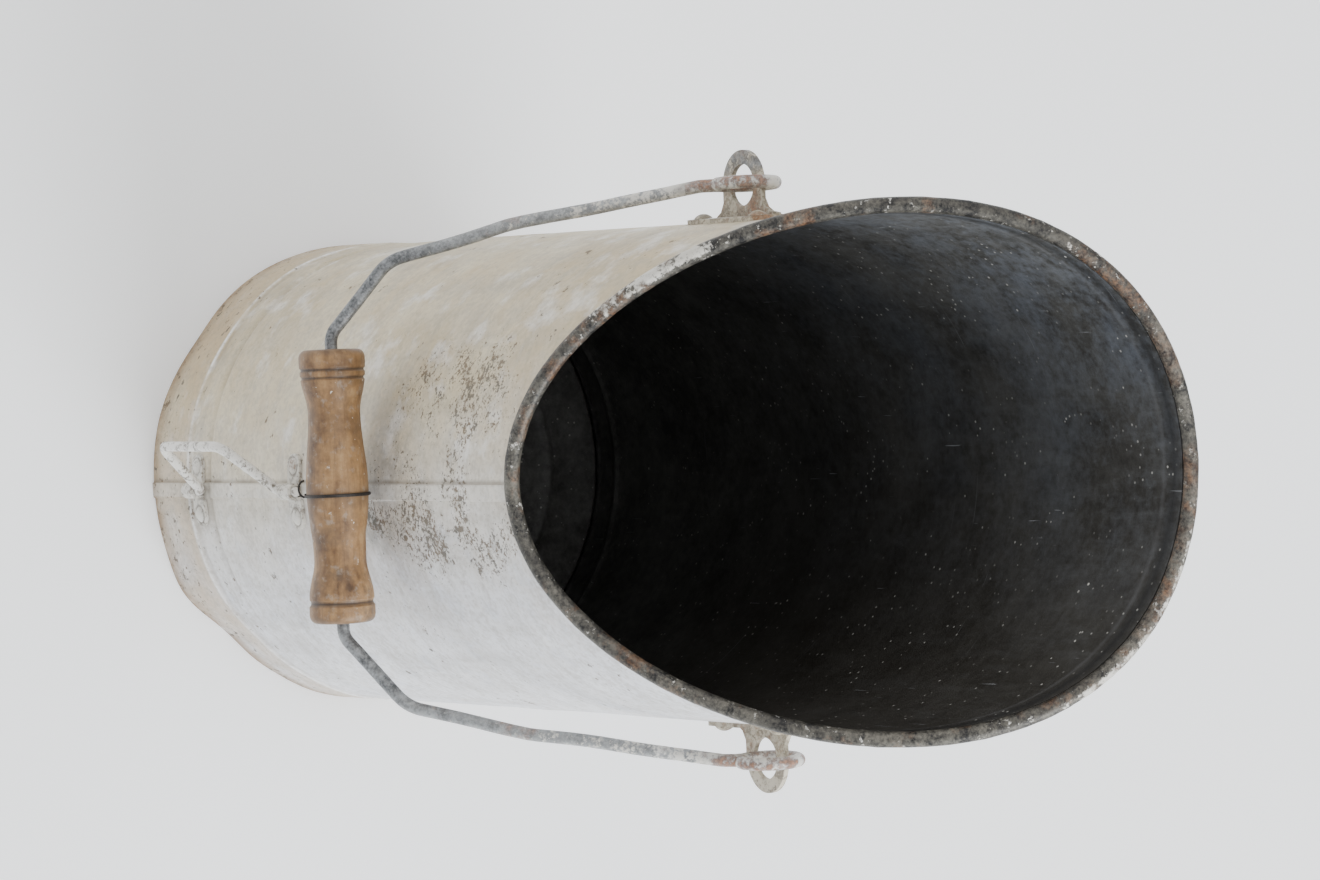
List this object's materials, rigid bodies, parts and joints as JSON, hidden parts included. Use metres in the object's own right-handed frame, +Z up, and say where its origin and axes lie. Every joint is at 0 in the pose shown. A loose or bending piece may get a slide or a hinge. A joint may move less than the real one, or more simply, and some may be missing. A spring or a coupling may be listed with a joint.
{
  "type": "coal scuttle",
  "caption": "Tall round sheet-steel coal scuttle with a slanted rolled-rim mouth, a swinging wire bail with a turned wooden grip and a small wire tilt handle low on the back.",
  "frame": {"origin": "centre of the base, on the ground plane", "axes": "+Z up; -Y is the back, with the low side of the mouth, the lap seam and the tilt handle; +Y is the tall pouring lip; the ears stand out along +X and -X"},
  "size_m": [0.2536, 0.2497, 0.501],
  "materials": {
    "painted_steel": "old off-white paint outside, chipped and stained, coal-black inside",
    "bare_steel": "dark worn steel with rust patches and paint flecks",
    "sooty_steel": "coal-black, dull",
    "painted_fittings": "off-white paint worn to grey metal and rust at the edges",
    "galvanised_rod": "weathered zinc grey with paint patches and rust at the bends",
    "turned_wood": "worn brown wood with dark turned lines",
    "iron_wire": "dark oxidised wire",
    "painted_wire": "white paint, chipped at the bends"
  },
  "bodies": {
    "body": {"body_wall": "painted_steel", "rim_curl": "bare_steel", "rim_wire": "bare_steel", "bottom_plate": "sooty_steel", "left_ear": "painted_fittings", "right_ear": "painted_fittings", "left_ear_rivets": "painted_fittings", "right_ear_rivets": "painted_fittings", "tilt_upper_clip": "painted_fittings", "tilt_lower_clip": "painted_fittings", "tilt_upper_clip_rivets": "painted_fittings", "tilt_lower_clip_rivets": "painted_fittings"},
    "bail": {"bail_rod": "galvanised_rod"},
    "grip": {"wood_grip": "turned_wood", "grip_binding_wire": "iron_wire"},
    "tilt_handle": {"tilt_handle": "painted_wire"}
  },
  "joints": [
    {"name": "bail_swing", "type": "hinge", "parent": "body", "child": "bail", "pos_m": [0, 0, 0.3628], "axis": [-1, 0, 0], "range_deg": [0, 168]},
    {"name": "grip_spin", "type": "hinge", "parent": "bail", "child": "grip", "pos_m": [0, -0.12021, 0.22218], "axis": [1, 0, 0], "continuous": true},
    {"name": "tilt_handle_swing", "type": "hinge", "parent": "body", "child": "tilt_handle", "pos_m": [0.0035, -0.1113, 0.10013], "axis": [0, 0.035, 0.9994], "range_deg": [-46, 130]}
  ]
}
